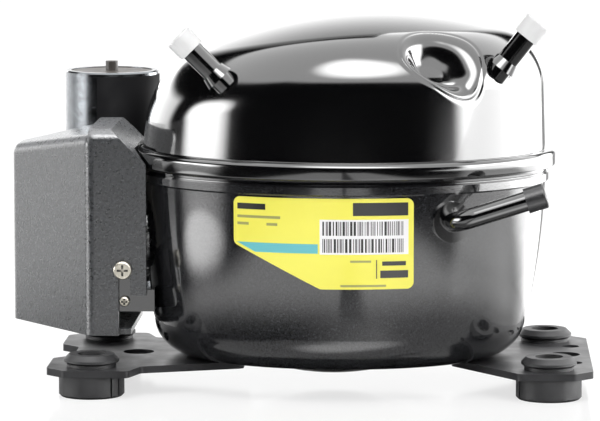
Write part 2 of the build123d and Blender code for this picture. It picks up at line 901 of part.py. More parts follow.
def make_stator_windings():
    """Windings: the bars in the slots and the wrapped end turns above and below."""
    inner_r = stator_bore_r + end_turn_in
    outer_r = slot_outer_r + end_turn_out
    body = None
    for z in (stator_z - end_turn_h, stator_top):
        turns = pipe(outer_r, inner_r, end_turn_h, (pump_x, 0, z))
        far = -1 if z > stator_z else 0
        turns = fillet(turns.edges().group_by(Axis.Z)[far], end_turn_round)
        body = turns if body is None else body + turns

    def bar():
        start = stator_bore_r + tooth_tip + winding_gap
        length = slot_outer_r - winding_gap - start
        return block((length, slot_w - 2 * winding_gap, stator_h), (start + length / 2, 0, stator_z))

    return body + around(slot_count, bar)


def make_stator_bolts():
    """Four long bolts that hold the stator under the block, each with its spring snubber."""
    bolts = []
    for x, y in corner_places(bolt_x, bolt_y):
        bolt = rod(bolt_r, block_z - stator_z, (x, y, stator_z))
        head = rod(nose_r, snubber_h, (x, y, stator_z - snubber_h))
        head = chamfer(head.edges().group_by(Axis.Z)[0], snubber_bevel)
        flange = rod(seat_r, seat_h, (x, y, stator_z - seat_h))
        bolts.append(bolt + head + flange)
    return Compound(bolts)


def make_rotor_core():
    """Laminated rotor pressed on the shaft."""
    return pipe(stator_bore_r - air_gap, shaft_r, stator_h, (pump_x, 0, stator_z))


def make_rotor_rings():
    """Cast end rings of the rotor, with their fan nubs."""
    outer_r = stator_bore_r - air_gap
    body = []
    for z in (stator_z - ring_h, stator_top):
        body.append(pipe(outer_r - ring_set_in, outer_r - ring_w, ring_h, (pump_x, 0, z)))
    return Compound(body)


# ---- crank train ----
def make_crankshaft():
    """Upright crankshaft with its web, eccentric pin and oil bore."""
    body = rod(shaft_r, web_z - shaft_bottom, (pump_x, 0, shaft_bottom))
    body += rod(web_r, web_t, (pump_x, 0, web_z))
    body += rod(crank_pin_r, pin_top - web_top, (pump_x, crank_r, web_top))
    body -= rod(oil_bore_r, stator_top - shaft_bottom, (pump_x, 0, shaft_bottom))
    return body - rod(plug_r + plug_gap, plug_depth, (pump_x, crank_r / 2, pin_top - plug_depth))


def make_crank_plug():
    """Small round plug in the end of the crank pin, halfway between the pin and the shaft axis."""
    body = rod(plug_r, plug_depth - 2 * plug_gap, (pump_x, crank_r / 2, pin_top - plug_depth + plug_gap))
    return chamfer(body.edges().group_by(Axis.Z)[-1], plug_bevel)


def make_counterweight():
    """Half-round counterweight on the web, opposite the pin."""
    body = rod(balance_r, web_t, (pump_x, 0, web_z)) - rod(web_r, web_t, (pump_x, 0, web_z))
    front = span_box(pump_x - balance_r, pump_x + balance_r, -balance_r, -balance_edge_y, web_z, web_top)
    return body & front


def make_oil_pickup():
    """Tapered oil pickup on the lower end of the shaft."""
    outline = [
        (pickup_tip_r - pickup_tip_wall, pickup_bottom),
        (pickup_tip_r, pickup_bottom),
        (shaft_r - pickup_set_in, shaft_bottom - pickup_neck),
        (shaft_r - pickup_set_in, shaft_bottom),
        (oil_bore_r, shaft_bottom),
        (oil_bore_r, shaft_bottom - pickup_neck),
    ]
    return Pos(pump_x, 0) * revolve(Plane.XZ * make_face(Polyline(*outline, close=True)), Axis.Z)


def make_slide_block():
    """Sliding block: a barrel across the yoke, bored for the crank pin."""
    start = (pump_x, crank_r - barrel_half, axis_z)
    body = rod(barrel_r, 2 * barrel_half, start, TOWARDS_BACK)
    ends = body.edges().group_by(Axis.Y)
    body = chamfer(ends[0] + ends[-1], barrel_bevel)
    return body - rod(crank_pin_r + run_gap, 4 * barrel_r, (pump_x, crank_r, axis_z - 2 * barrel_r))


def make_yoke_tube():
    """Cross tube of the yoke, slotted below for the crank pin."""
    body = pipe(yoke_r, yoke_bore_r, 2 * yoke_half, (pump_x, -yoke_half, axis_z), TOWARDS_BACK)
    half_x = crank_pin_r + slot_gap
    half_y = crank_r + crank_pin_r + slot_gap
    return body - span_box(pump_x - half_x, pump_x + half_x, -half_y, half_y, axis_z - 2 * yoke_r, axis_z)


def make_piston():
    """Hollow piston brazed to the yoke, with two oil grooves."""
    body = rod(bore_r - run_gap, piston_reach, (pump_x, 0, axis_z), TOWARDS_X)
    body -= rod(bore_r - piston_wall, piston_reach - crown_t, (pump_x, 0, axis_z), TOWARDS_X)
    for back in groove_backs:
        body -= pipe(bore_r, bore_r - groove_cut, groove_h, (crown_x0 - back, 0, axis_z), TOWARDS_X)
    return body - rod(yoke_r, 4 * yoke_half, (pump_x, -2 * yoke_half, axis_z), TOWARDS_BACK)


# ---- cylinder block and valves ----
def head_slab(x, thickness):
    """Square slab of the cylinder head stack with its four bolt holes."""
    slab = RectangleRounded(2 * head_half, 2 * head_half, head_corner_r)
    body = Pos(x, 0, axis_z) * Rot(*TOWARDS_X) * extrude(slab, thickness)
    for y, z in head_bolt_places():
        body -= rod(head_bolt_r, thickness, (x, y, z), TOWARDS_X)
    return body


def head_bolt_places():
    """Centres of the four head screws, in Y and Z."""
    return [(sy * head_bolt, axis_z + sz * head_bolt) for sy in (-1, 1) for sz in (-1, 1)]


def make_cylinder_block():
    """Cast block: bearing boss, deck on four feet, and the cylinder with its head flange."""
    half_x = bolt_x + foot_r
    start = pump_x + cylinder_start
    deck = span_box(pump_x - half_x, block_face, -block_half_y, block_half_y, block_z, block_top)
    deck = fillet(deck.edges().filter_by(Axis.Z), foot_r)
    body = deck + rod(boss_r, boss_drop, (pump_x, 0, block_z - boss_drop))
    for x, y in corner_places(bolt_x, bolt_y):
        body += rod(foot_r, block_z - stator_top, (x, y, stator_top))
    body += span_box(start, block_face, -bore_r - bore_wall, bore_r + bore_wall, block_top, axis_z)
    body += rod(bore_r + bore_wall, block_face - start, (start, 0, axis_z), TOWARDS_X)
    body += head_slab(block_face - head_flange_t, head_flange_t)
    for y, z in head_bolt_places():
        body -= rod(head_bolt_r, 2 * head_flange_t, (block_face - head_flange_t, y, z), TOWARDS_X)
    body -= rod(bore_r, block_face - start, (start, 0, axis_z), TOWARDS_X)
    for x, y in corner_places(bolt_x, bolt_y):
        body -= rod(bolt_r, block_z - stator_top, (x, y, stator_top))
    turns_r = slot_outer_r + end_turn_out + turns_gap
    body -= pipe(turns_r, boss_r, end_turn_h + turns_gap, (pump_x, 0, stator_top))
    return body - rod(shaft_r + run_gap, block_top, (pump_x, 0, 0))


def make_thrust_washer():
    """Washer that carries the crank web on the block."""
    return pipe(shaft_r + run_gap + washer_w, shaft_r + run_gap, washer_t, (pump_x, 0, block_top))


def reed_tongue(x, y, half_w, top, tip):
    """Reed tongue in a plane across X, round at its tip and rolled round at its root."""
    z_top = axis_z + top
    z_tip = axis_z - tip + half_w
    body = span_box(x, x + reed_t, y - half_w, y + half_w, z_tip, z_top)
    body += rod(half_w, reed_t, (x, y, z_tip), TOWARDS_X)
    return body + rod(reed_t / 2, 2 * half_w, (x + reed_t / 2, y - half_w, z_top), TOWARDS_BACK)


def make_valve_gasket():
    """Gasket between the block and the valve plate, cut out for the bore and the suction reed."""
    body = head_slab(block_face, gasket_t)
    body -= rod(bore_r + gasket_margin, gasket_t, (block_face, 0, axis_z), TOWARDS_X)
    half = reed_half_w + reed_gap
    return body - span_box(block_face, gasket_face, -half, half, axis_z, axis_z + reed_top + reed_gap)


def make_suction_reed():
    """Suction reed, a spring tongue on the cylinder side of the valve plate."""
    return reed_tongue(gasket_face - reed_t, 0, reed_half_w, reed_top - reed_t / 2, reed_tip)


def make_valve_plate():
    """Valve plate with its suction and discharge ports."""
    body = head_slab(gasket_face, valve_plate_t)
    body -= rod(suction_port_r, valve_plate_t, (gasket_face, 0, axis_z - suction_port_drop), TOWARDS_X)
    return body - rod(discharge_port_r, valve_plate_t, (gasket_face, discharge_port_y, axis_z), TOWARDS_X)


def make_discharge_reed():
    """Discharge reed, a spring tongue on the head side of the valve plate."""
    half_w = discharge_port_r + reed_margin
    return reed_tongue(plate_face, discharge_port_y, half_w, leaf_top, leaf_tip)


def make_reed_stop():
    """Sprung stop that limits the lift of the discharge reed."""
    half_w = discharge_port_r + reed_margin
    root = axis_z + leaf_top + reed_t / 2 + stop_gap
    foot = span_box(plate_face, plate_face + reed_t + stop_t, -half_w, half_w, root, root + stop_foot)
    leaf = span_box(0, stop_t, -half_w, half_w, -stop_l, 0)
    leaf = Pos(plate_face + reed_t + stop_gap, 0, root) * Rot(0, -stop_lean, 0) * leaf
    return Pos(0, discharge_port_y) * (foot + leaf)


def make_cylinder_head():
    """Cast head with its suction and discharge chambers."""
    half = head_half - 2 * head_wall
    rooms = (
        (rib_y + rib_half, rib_y + rib_half + discharge_room_w, half),
        (rib_y - rib_half - suction_room_w, rib_y - rib_half, suction_room_half),
    )
    body = head_slab(plate_face, head_t)
    for y0, y1, half_z in rooms:
        body -= span_box(plate_face, head_face - head_wall, y0, y1, axis_z - half_z, axis_z + half_z)
    return body


def make_head_screws():
    """Four screws that clamp the head stack to the block."""
    screws = []
    start_x = block_face - head_flange_t
    for y, z in head_bolt_places():
        shank = rod(head_bolt_r, head_face - start_x, (start_x, y, z), TOWARDS_X)
        head = rod(head_bolt_head_r, head_bolt_head_h, (head_face, y, z), TOWARDS_X)
        screws.append(shank + head)
    return Compound(screws)


def make_suction_muffler():
    """Moulded suction muffler beside the cylinder."""
    x0 = pump_x + cylinder_start - muffler_back
    y0 = head_half
    z0 = block_top
    body = span_box(x0, x0 + muffler_x, y0, y0 + muffler_y, z0, z0 + muffler_z)
    body = fillet(body.edges().filter_by(Axis.Y), muffler_round)
    return body


def line_points():
    """Corners of the inner discharge line, from the head down to the discharge tube."""
    inside, bend, _ = discharge_points()
    towards = (bend - inside).normalized()
    out = plate_face + head_t / 2
    lead = inside - towards * line_lead
    return [
        Vector(out, -head_half, axis_z),
        Vector(out, -head_half - line_lead, axis_z),
        Vector(out - line_lead, lead.Y + line_set_back, axis_z - line_lead),
        lead,
        inside + towards * line_insert,
    ]


def make_discharge_line():
    """Bent line from the cylinder head to the discharge tube."""
    points = line_points()
    return bent_tube(points, line_bend_r, line_r) - bent_tube(points, line_bend_r, line_bore_r)


# ---- suspension ----
def make_spring_seats():
    """Four seats on the bottom of the cup, each with a nose that centres its spring."""
    seats = []
    room = cup(-wall)
    for x, y in corner_places(bolt_x, bolt_y):
        post = rod(seat_r, wall + seat_h, (x, y, cup_z)) + rod(nose_r, wall + seat_h + nose_h, (x, y, cup_z))
        seats.append(post & room)
    return Compound(seats)


def make_springs():
    """Four coil springs that carry the pump."""
    start = pump_low_z + seat_h + spring_wire_r
    length = stator_z - seat_h - spring_wire_r - start
    springs = []
    for x, y in corner_places(bolt_x, bolt_y):
        path = Helix(length / spring_turns, length, spring_r)
        section = Plane(path @ 0, z_dir=path % 0) * RegularPolygon(spring_wire_r, spring_sides)
        wire = sweep(section, path, is_frenet=True)
        springs.append(Pos(x, y, start) * wire)
    return Compound(springs)


discharge_frame = discharge_end_frame()
nodes = {
    "lower_shell": make_lower_shell(),
    "upper_shell": make_upper_shell(),
    "seam_weld": make_seam_weld(),
    "base_plate_left": make_base_plate_left(),
    "base_plate_right": make_base_plate_right(),
    "suction_tube": make_stub(suction_frame),
    "process_tube": make_stub(process_frame),
    "discharge_tube": make_discharge_tube(),
    "suction_cap": suction_frame * make_cap(stub_r, cap_cover, stub_out - cap_cover),
    "process_cap": process_frame * make_cap(stub_r, cap_cover, stub_out - cap_cover),
    "discharge_cap": discharge_frame * make_cap(discharge_r, discharge_cap_cover, -discharge_cap_cover),
    "nameplate_label": make_label(),
    "terminal_cover": make_terminal_cover(),
    "cover_screw": make_screw(cover_screw_x, cover_screw_z, cover_screw_r, cover_screw_l, cover_front),
    "earth_screw": make_screw(earth_screw_x, earth_screw_z, earth_screw_r, earth_screw_l, bracket_y),
    "terminal_bracket": make_terminal_bracket(),
    "terminal_cup": make_terminal_cup(),
    "terminal_glass": make_terminal_glass(),
    "terminal_pins": make_terminal_pins(),
    "start_relay": make_start_relay(),
    "overload_protector": make_overload(),
    "capacitor_can": make_capacitor_can(),
    "capacitor_cap": make_capacitor_cap(),
    "capacitor_sleeve": make_capacitor_sleeve(),
    "capacitor_strap": make_capacitor_strap(),
    "stator_core": make_stator_core(),
    "stator_windings": make_stator_windings(),
    "stator_bolts": make_stator_bolts(),
    "rotor_core": make_rotor_core(),
    "rotor_rings": make_rotor_rings(),
    "crankshaft": make_crankshaft(),
    "crank_plug": make_crank_plug(),
    "counterweight": make_counterweight(),
    "oil_pickup": make_oil_pickup(),
    "slide_block": make_slide_block(),
    "yoke_tube": make_yoke_tube(),
    "piston": make_piston(),
    "cylinder_block": make_cylinder_block(),
    "thrust_washer": make_thrust_washer(),
    "valve_gasket": make_valve_gasket(),
    "suction_reed": make_suction_reed(),
    "valve_plate": make_valve_plate(),
    "discharge_reed": make_discharge_reed(),
    "reed_stop": make_reed_stop(),
    "cylinder_head": make_cylinder_head(),
    "head_screws": make_head_screws(),
    "suction_muffler": make_suction_muffler(),
    "discharge_line": make_discharge_line(),
    "spring_seats": make_spring_seats(),
    "suspension_springs": make_springs(),
}
corners = [(sx * foot_pitch_x / 2, sy * foot_pitch_y / 2) for sy in (-1, 1) for sx in (-1, 1)]
sleeve_h = grommet_h - sleeve_recess
for number, ((x, y), turn) in enumerate(zip(corners, groove_turns), 1):
    nodes[f"foot_grommet_{number}"] = make_grommet(x, y, turn)
    nodes[f"foot_sleeve_{number}"] = pipe(sleeve_r, sleeve_bore_r, sleeve_h, (x, y, 0))

os.makedirs("parts", exist_ok=True)
for name, shape in nodes.items():
    export_step(shape, f"parts/{name}.step")
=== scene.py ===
import bpy
import math
import numpy as np
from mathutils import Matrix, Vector
from mathutils.bvhtree import BVHTree


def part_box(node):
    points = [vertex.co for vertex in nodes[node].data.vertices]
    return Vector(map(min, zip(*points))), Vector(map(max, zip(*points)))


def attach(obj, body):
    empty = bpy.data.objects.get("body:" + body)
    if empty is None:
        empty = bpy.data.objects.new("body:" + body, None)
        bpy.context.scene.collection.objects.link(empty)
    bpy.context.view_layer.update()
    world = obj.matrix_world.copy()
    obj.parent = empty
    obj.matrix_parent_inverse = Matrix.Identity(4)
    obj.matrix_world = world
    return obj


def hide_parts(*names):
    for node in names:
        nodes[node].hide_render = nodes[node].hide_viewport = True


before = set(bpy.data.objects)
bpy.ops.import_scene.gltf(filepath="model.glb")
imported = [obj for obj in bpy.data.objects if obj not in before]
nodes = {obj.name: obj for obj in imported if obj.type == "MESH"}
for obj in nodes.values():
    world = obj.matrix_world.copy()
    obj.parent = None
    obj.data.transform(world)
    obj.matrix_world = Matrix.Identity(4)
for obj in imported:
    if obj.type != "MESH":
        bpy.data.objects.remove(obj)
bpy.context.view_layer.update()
scene = bpy.context.scene


# ---------------------------------------------------------------- materials
def socket(node, name, value):
    """Sets an input of a node by its name."""
    node.inputs[name].default_value = value


class Finish:
    """A procedural material: one Principled shader with noise on colour, roughness and bump."""

    def __init__(self, name, color, rough, metallic=0.0):
        self.mat = bpy.data.materials.new(name)
        self.mat.use_nodes = True
        self.tree = self.mat.node_tree
        self.links = self.tree.links
        self.bsdf = self.tree.nodes["Principled BSDF"]
        self.color = color
        self.rough = rough
        socket(self.bsdf, "Base Color", (*color, 1.0))
        socket(self.bsdf, "Roughness", rough)
        socket(self.bsdf, "Metallic", metallic)
        self.place = self.add("ShaderNodeTexCoord").outputs["Object"]
        self.height = None

    def add(self, kind):
        return self.tree.nodes.new(kind)

    def noise(self, scale, detail=3.0, rough=0.5, stretch=None):
        """Noise over the object, scale in lumps per metre."""
        node = self.add("ShaderNodeTexNoise")
        socket(node, "Scale", scale)
        socket(node, "Detail", detail)
        socket(node, "Roughness", rough)
        source = self.place
        if stretch:
            mapping = self.add("ShaderNodeMapping")
            socket(mapping, "Scale", stretch)
            self.links.new(source, mapping.inputs["Vector"])
            source = mapping.outputs["Vector"]
        self.links.new(source, node.inputs["Vector"])
        return node.outputs["Fac"]

    def grains(self, scale, smooth=0.6):
        """Rounded grains, scale in grains per metre."""
        node = self.add("ShaderNodeTexVoronoi")
        node.feature = "SMOOTH_F1"
        socket(node, "Scale", scale)
        socket(node, "Smoothness", smooth)
        self.links.new(self.place, node.inputs["Vector"])
        return node.outputs["Distance"]

    def bands(self, scale, axis="Z", distortion=0.0):
        """Straight bands across an axis, scale in bands per metre."""
        node = self.add("ShaderNodeTexWave")
        node.bands_direction = axis
        socket(node, "Scale", scale)
        socket(node, "Distortion", distortion)
        self.links.new(self.place, node.inputs["Vector"])
        return node.outputs["Fac"]

    def span(self, value, low, high, start=0.0, end=1.0):
        """Maps a value between start and end onto low to high."""
        node = self.add("ShaderNodeMapRange")
        socket(node, "From Min", start)
        socket(node, "From Max", end)
        socket(node, "To Min", low)
        socket(node, "To Max", high)
        self.links.new(value, node.inputs["Value"])
        return node.outputs["Result"]

    def tint(self, value, other, start=0.3, end=0.7):
        """Runs the base colour towards another one where the value is high."""
        ramp = self.add("ShaderNodeValToRGB")
        ramp.color_ramp.elements[0].position = start
        ramp.color_ramp.elements[1].position = end
        ramp.color_ramp.elements[0].color = (*self.color, 1.0)
        ramp.color_ramp.elements[1].color = (*other, 1.0)
        self.links.new(value, ramp.inputs["Fac"])
        self.links.new(ramp.outputs["Color"], self.bsdf.inputs["Base Color"])
        return self

    def cover_over(self, value, other):
        """Runs the tinted colour towards one more where the value is high."""
        mix = self.add("ShaderNodeMix")
        mix.data_type = "RGBA"
        base = self.bsdf.inputs["Base Color"].links[0].from_socket
        self.links.new(value, mix.inputs["Factor"])
        self.links.new(base, mix.inputs["A"])
        mix.inputs["B"].default_value = (*other, 1.0)
        self.links.new(mix.outputs["Result"], self.bsdf.inputs["Base Color"])
        return self

    def paint_top_light(self, other):
        """Paler on faces that look up: painted light from overhead, laid into the base colour."""
        facing = self.add("ShaderNodeNewGeometry").outputs["Normal"]
        apart = self.add("ShaderNodeSeparateXYZ")
        self.links.new(facing, apart.inputs[0])
        return self.cover_over(self.span(apart.outputs["Z"], 0.0, 1.0, 0.15, 0.95), other)

    def shade_hollows(self, distance, other):
        """Painted shade down in recesses narrower than a distance in metres."""
        open_sky = self.add("ShaderNodeAmbientOcclusion")
        socket(open_sky, "Distance", distance)
        return self.cover_over(self.span(open_sky.outputs["AO"], 0.0, 1.0, 0.80, 0.45), other)

    def vary_rough(self, value, low, high):
        """Lets the roughness wander between low and high."""
        self.links.new(self.span(value, low, high, 0.25, 0.75), self.bsdf.inputs["Roughness"])
        return self

    def bump(self, value, depth, strength=1.0):
        """Adds a bump of a depth in metres on top of the ones before it."""
        node = self.add("ShaderNodeBump")
        socket(node, "Strength", strength)
        socket(node, "Distance", depth)
        self.links.new(value, node.inputs["Height"])
        if self.height:
            self.links.new(self.height, node.inputs["Normal"])
        self.height = node.outputs["Normal"]
        self.links.new(self.height, self.bsdf.inputs["Normal"])
        return self

    def set(self, **values):
        """Sets shader sockets that are the same all over, such as the coat's weight."""
        names = {
            "coat": "Coat Weight",
            "coat_rough": "Coat Roughness",
            "coat_ior": "Coat IOR",
            "specular": "Specular IOR Level",
        }
        for key, value in values.items():
            socket(self.bsdf, names[key], value)
        return self


def gloss_paint(name, grain, depth, fleck):
    """Thick gloss black paint, its grain in lumps per metre and metres of depth."""
    f = Finish(name, (0.0015, 0.0015, 0.0017), 0.14)
    f.tint(f.noise(grain, 4.0, 0.6), fleck, 0.34, 0.72)
    f.vary_rough(f.noise(22.0, 5.0), 0.08, 0.18)
    f.bump(f.noise(170.0, 2.0), 0.00005, 0.3)
    f.bump(f.noise(grain, 3.0, 0.6), depth, 0.8)
    f.set(coat=1.0, coat_rough=0.04, coat_ior=1.5)
    return f.mat


def plate_paint():
    """Thinner black paint of the base plates, with little shine."""
    f = Finish("plate_paint", (0.022, 0.022, 0.023), 0.30)
    f.tint(f.noise(70.0, 5.0), (0.050, 0.050, 0.053), 0.3, 0.75)
    f.vary_rough(f.noise(140.0, 4.0), 0.28, 0.42)
    f.bump(f.noise(500.0, 3.0), 0.00004, 0.6)
    f.set(specular=0.22)
    return f.mat


def cover_plastic():
    """Grained black plastic of the terminal cover."""
    f = Finish("grained_cover_plastic", (0.012, 0.013, 0.014), 0.30)
    f.tint(f.noise(1100.0, 3.0, 0.7), (0.056, 0.059, 0.064), 0.40, 0.66)
    f.vary_rough(f.noise(700.0, 2.0), 0.22, 0.38)
    f.bump(f.grains(1300.0), 0.00007, 0.7)
    # painted light on the faces of the cover that look up
    f.paint_top_light((0.20, 0.205, 0.215))
    f.set(specular=0.9)
    return f.mat


def foot_rubber():
    """Dull moulded rubber."""
    f = Finish("foot_rubber", (0.010, 0.010, 0.011), 0.50)
    f.tint(f.noise(60.0, 6.0, 0.65), (0.024, 0.024, 0.025), 0.35, 0.75)
    f.vary_rough(f.noise(180.0, 4.0), 0.42, 0.66)
    f.bump(f.noise(1500.0, 2.0), 0.00005, 0.5)
    f.bump(f.noise(90.0, 3.0), 0.00018, 0.4)
    return f.mat


def plated(name, color, other, rough):
    """Metal with a mottled skin, left open for more bumps."""
    f = Finish(name, color, rough, 1.0)
    f.tint(f.noise(120.0, 6.0, 0.6), other, 0.32, 0.72)
    f.vary_rough(f.noise(420.0, 4.0), rough * 0.75, rough * 1.3)
    f.bump(f.noise(900.0, 3.0), 0.00002, 0.5)
    return f


def zinc_plate():
    """Yellowish zinc with painted shade in its recesses."""
    f = plated("zinc_plate", (0.46, 0.43, 0.36), (0.58, 0.55, 0.48), 0.30)
    # painted shade in the hollows of zinc parts, such as the screw recesses
    f.shade_hollows(0.0016, (0.02, 0.02, 0.02))
    return f.mat


def turned_metal(name, color, other, rough):
    """Metal with fine marks round it from turning."""
    f = plated(name, color, other, rough)
    f.bump(f.noise(60.0, 2.0, 0.5, (1.0, 1.0, 40.0)), 0.00002, 0.5)
    return f.mat


def moulded(name, color, other, rough, grain=700.0, depth=0.00004, specular=0.5):
    """Plain moulded plastic, glass or sheet, mottled towards another colour."""
    f = Finish(name, color, rough)
    f.set(specular=specular)
    f.tint(f.noise(50.0, 5.0), other, 0.3, 0.75)
    f.vary_rough(f.noise(150.0, 4.0), rough * 0.85, rough * 1.2)
    f.bump(f.noise(grain, 3.0), depth, 0.6)
    return f.mat


def stacked_sheets():
    """Steel laminations stacked along Z."""
    f = plated("laminations", (0.24, 0.235, 0.225), (0.12, 0.10, 0.085), 0.42)
    f.bump(f.bands(300.0), 0.00012, 0.9)
    return f.mat


def wound_wire():
    """Enamelled wire, wound in close turns."""
    f = Finish("wound_wire", (0.42, 0.13, 0.035), 0.3, 0.75)
    f.tint(f.noise(160.0, 4.0), (0.25, 0.07, 0.02), 0.35, 0.7)
    f.vary_rough(f.noise(300.0, 3.0), 0.22, 0.42)
    f.bump(f.bands(420.0, "DIAGONAL", 1.2), 0.0003, 0.9)
    f.set(coat=0.6, coat_rough=0.15)
    return f.mat


def cast_metal(name, color, other, rough, metallic):
    """Rough cast skin."""
    f = Finish(name, color, rough, metallic)
    f.tint(f.noise(90.0, 7.0, 0.65), other, 0.32, 0.72)
    f.vary_rough(f.noise(260.0, 5.0), rough * 0.8, rough * 1.25)
    f.bump(f.noise(520.0, 5.0, 0.6), 0.00018, 0.8)
    return f.mat


def label_print(name, color, other):
    """Printed film under a thin clear coat."""
    f = Finish(name, color, 0.34)
    f.tint(f.noise(40.0, 5.0), other, 0.3, 0.8)
    f.vary_rough(f.noise(90.0, 4.0), 0.28, 0.42)
    f.bump(f.noise(700.0, 3.0), 0.00001, 0.4)
    f.set(coat=0.35, coat_rough=0.18)
    return f.mat


FINISHES = {
    "shell_paint": gloss_paint("gloss_black_paint", 900.0, 0.000004, (0.0040, 0.0040, 0.0044)),
    "foot_rubber": foot_rubber(),
    "zinc_steel": zinc_plate(),
    "steel": turned_metal("ground_steel", (0.50, 0.50, 0.50), (0.38, 0.38, 0.39), 0.28),
    "spring_steel": turned_metal("spring_steel", (0.42, 0.43, 0.45), (0.30, 0.31, 0.33), 0.24),
    "cap_white": moulded("white_cap", (0.74, 0.74, 0.74), (0.68, 0.68, 0.68), 0.42),
    "cap_black": moulded("black_cap", (0.012, 0.012, 0.013), (0.022, 0.022, 0.023), 0.30),
    "label": label_print("label_yellow", (0.87, 0.82, 0.10), (0.85, 0.79, 0.09)),
    "cover_plastic": cover_plastic(),
    "relay_plastic": moulded("relay_plastic", (0.62, 0.60, 0.55), (0.52, 0.50, 0.46), 0.45),
    "protector": moulded("protector_black", (0.02, 0.02, 0.022), (0.04, 0.04, 0.042), 0.4),
    "glass_bead": moulded("sealing_glass", (0.03, 0.10, 0.09), (0.05, 0.15, 0.13), 0.12),
    "pin_metal": turned_metal("pin_metal", (0.60, 0.57, 0.50), (0.45, 0.43, 0.40), 0.25),
    "aluminium": turned_metal("drawn_aluminium", (0.17, 0.18, 0.19), (0.11, 0.115, 0.12), 0.22),
    "sleeve_black": moulded(
        "black_sleeve", (0.003, 0.003, 0.0035), (0.006, 0.006, 0.0065), 0.5, specular=0.04
    ),
    "phenolic": moulded("phenolic_disc", (0.030, 0.026, 0.024), (0.055, 0.048, 0.042), 0.45),
    "laminations": stacked_sheets(),
    "winding": wound_wire(),
    "cast_aluminium": cast_metal("cast_aluminium", (0.62, 0.62, 0.63), (0.48, 0.48, 0.49), 0.42, 1.0),
    "cast_iron": cast_metal("cast_iron", (0.20, 0.20, 0.20), (0.13, 0.125, 0.12), 0.5, 0.8),
    "gasket": moulded("gasket_sheet", (0.10, 0.14, 0.13), (0.16, 0.20, 0.18), 0.75, 1400.0, 0.00012),
    "muffler_plastic": moulded("muffler_plastic", (0.55, 0.50, 0.36), (0.45, 0.40, 0.28), 0.4),
    "line_steel": turned_metal("line_steel", (0.55, 0.50, 0.46), (0.62, 0.38, 0.24), 0.26),
}

for node in nodes.values():
    for index, old in enumerate(node.data.materials):
        node.data.materials[index] = FINISHES[old.name.split(".")[0]]
nodes["lower_shell"].data.materials[0] = gloss_paint(
    "grained_black_paint", 1500.0, 0.00003, (0.034, 0.035, 0.038)
)
for name in ("base_plate_left", "base_plate_right"):
    nodes[name].data.materials[0] = plate_paint()


# ---------------------------------------------------------------- upper shell
# Lengths in millimetres and angles in degrees, down to the capacitor's wrap.
MM = 0.001
TINY = 1e-9
SHELL_X = 7.7
SHELL_W = 76.3
SHELL_D = 61.5
RIM_Z = 89.0
LIP_Z = 83.8
DRAFT_FOOT = 83.8
DRAFT_TOP = 145.0
DRAFT_LEFT = 5.2
DRAFT_RIGHT = 1.8
DRAFT_DEPTH = 1.7
CROWN_X = 22.0
CROWN_Z = 141.7
CROWN_R = 170.0
SHOULDER_R = 15.0

POCKET_AT = np.array([45.2, -48.3, 128.2])
POCKET_LEAN = 48.0
POCKET_TURN = 12.0
POCKET_ROLL = -14.0
POCKET_HALF_W = 15.2
POCKET_HALF_H = 11.6
POCKET_TAPER = 0.10
POCKET_POWER = 2.5
POCKET_DEPTH = 7.6
POCKET_WALL = 0.26
POCKET_REACH = 20.0
PIT_SIDE = -2.6
PIT_RISE = -3.6
PIT_HALF_W = 4.6
PIT_HALF_H = 2.6
PIT_POWER = 2.2
POCKET_RIM = 0.3
RIM_AT = 1.04
RIM_WIDTH = 0.05

DOME_TURNS = 640
DOME_STEPS = 230
CROWD_TURNS = 0.45
CROWD_STEPS = 0.12
RAY_REACH = 110.0
HALVINGS = 34
CREST_LOW = 100.0
CREST_HIGH = 160.0
CREST_TRIES = 6001

# The lip's outline from its foot up, as how far out of the shell and how far over LIP_Z. An arc is
# the out and height of its middle, its radius, its first and last angle, and its number of points.
LIP_COLUMNS = 360
LIP_FOOT = (0.1, 0.2)
LIP_CORNER = (3.0, 0.6, 0.6, -90, 0, 4)
LIP_BEAD = (1.6, 4.1, 2.0, 0, 90, 9)
LIP_NECK = (0.9, 6.1)
LIP_FILLET = (0.4, 6.9, 0.9, -70, -150, 5)


def smooth_round(a, b, radius):
    """Distance field of what is inside both fields, their meeting edge rounded by a radius."""
    over_a = np.maximum(a + radius, 0.0)
    over_b = np.maximum(b + radius, 0.0)
    return np.minimum(np.maximum(a, b), -radius) + np.hypot(over_a, over_b)


def oval_field(x, y, half_w, half_d):
    """Rough distance from an oval in the plan."""
    reach = np.sqrt((x / half_w) ** 2 + (y / half_d) ** 2) + TINY
    slope = np.sqrt((x / half_w**2) ** 2 + (y / half_d**2) ** 2) + TINY
    return reach * (reach - 1.0) / slope


def pocket_axes():
    """Axes of the pressed pocket on the front shoulder: side, rise and out of the shell."""
    lean, turn, roll = (math.radians(a) for a in (POCKET_LEAN, POCKET_TURN, POCKET_ROLL))
    out = np.array([math.sin(turn) * math.sin(lean), -math.cos(turn) * math.sin(lean), math.cos(lean)])
    along = np.array([math.cos(turn), math.sin(turn), 0.0])
    up = np.cross(out, along)
    side = along * math.cos(roll) + up * math.sin(roll)
    rise = up * math.cos(roll) - along * math.sin(roll)
    return side, rise, out


